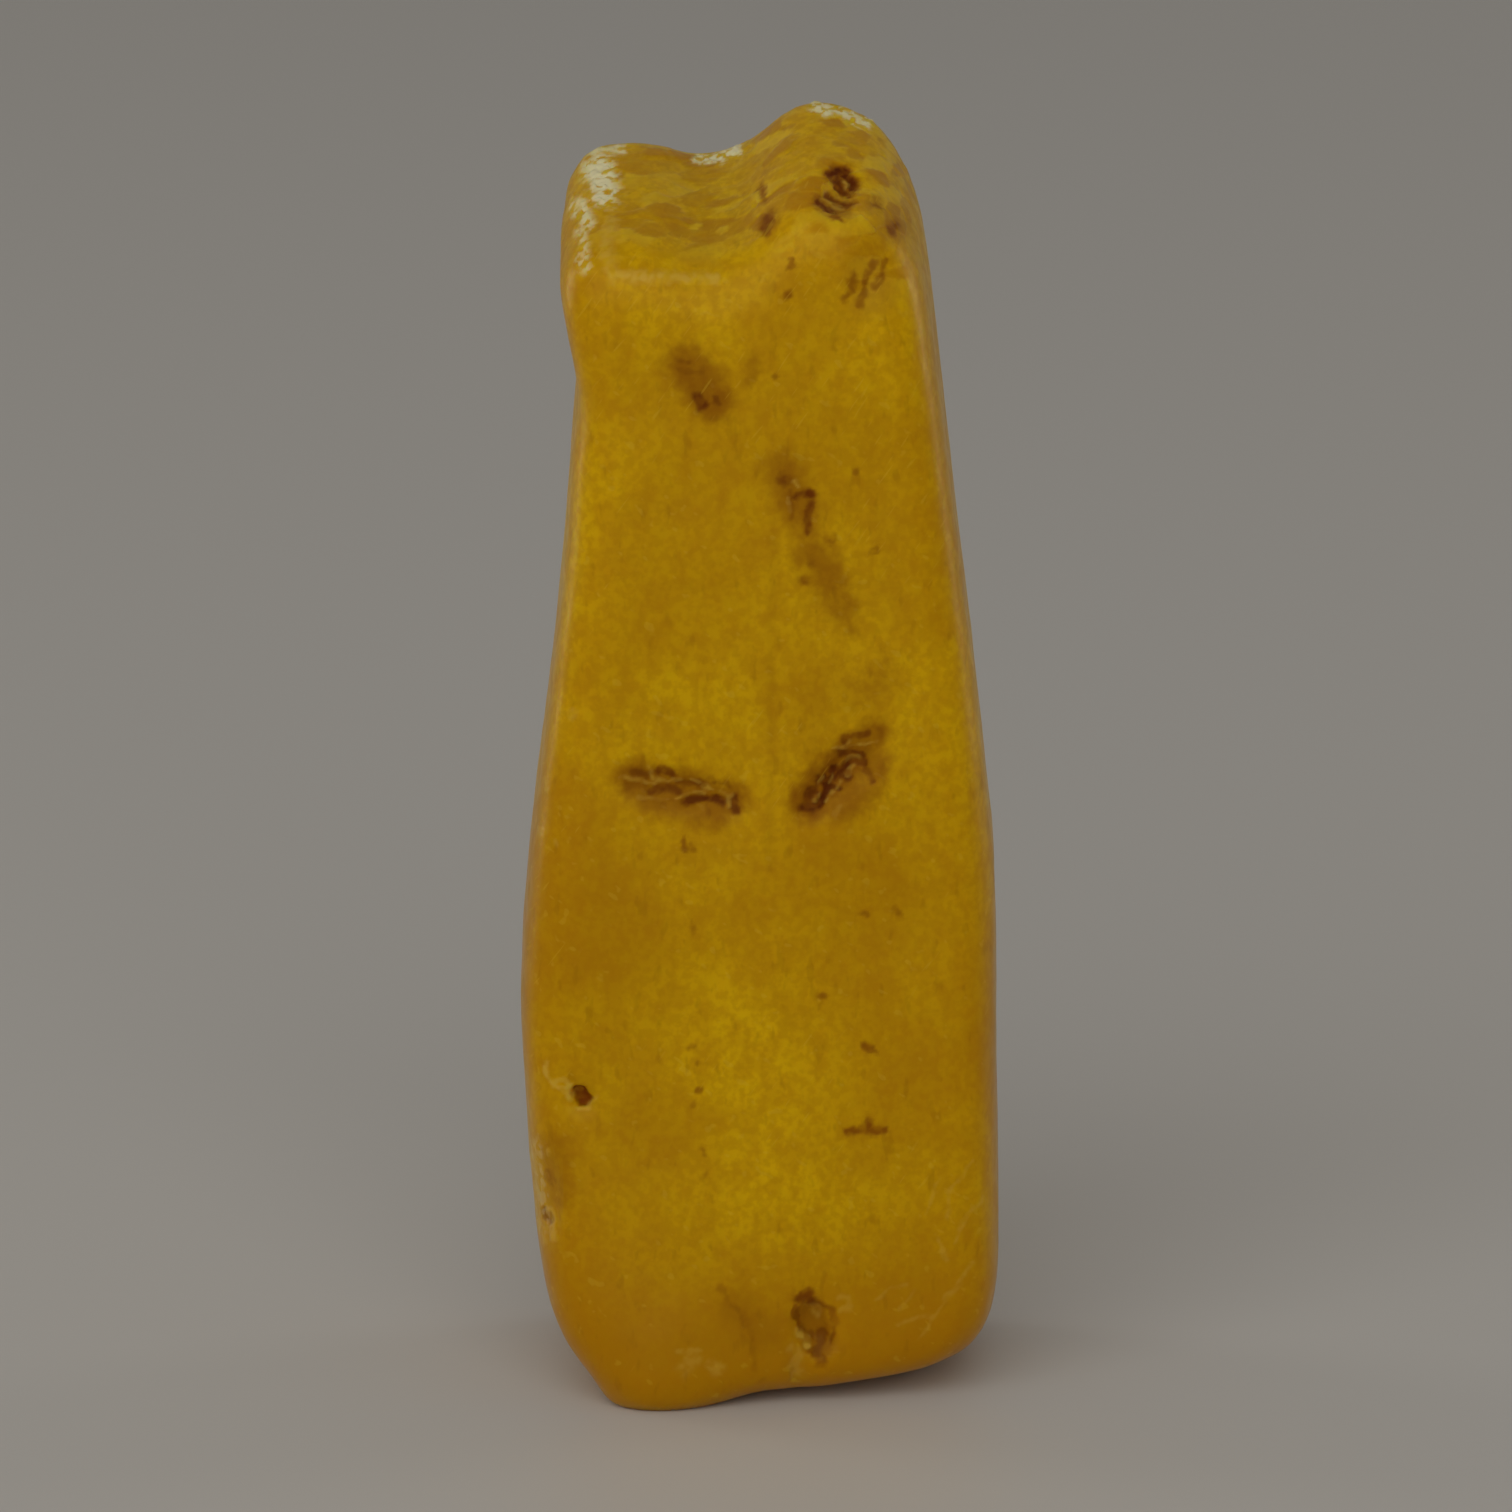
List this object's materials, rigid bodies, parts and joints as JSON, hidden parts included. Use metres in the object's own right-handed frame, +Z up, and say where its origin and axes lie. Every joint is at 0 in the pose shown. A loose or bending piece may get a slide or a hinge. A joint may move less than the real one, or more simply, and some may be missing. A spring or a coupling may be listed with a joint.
{
  "type": "tumbled amber gemstone",
  "caption": "Cloudy honey-yellow amber nugget, tumbled and polished, a tapering slab with a notched top and brown fissures, standing on a small flat foot.",
  "frame": {"origin": "middle of the box that just holds the stone, at the surface it stands on", "axes": "+Z up along the stone's length, -Y out of the broad front face, +X to the right as the front is seen"},
  "size_m": [0.0116, 0.0086, 0.0311],
  "materials": {
    "amber": "satin"
  },
  "bodies": {
    "root": {"amber": "amber"}
  },
  "joints": []
}
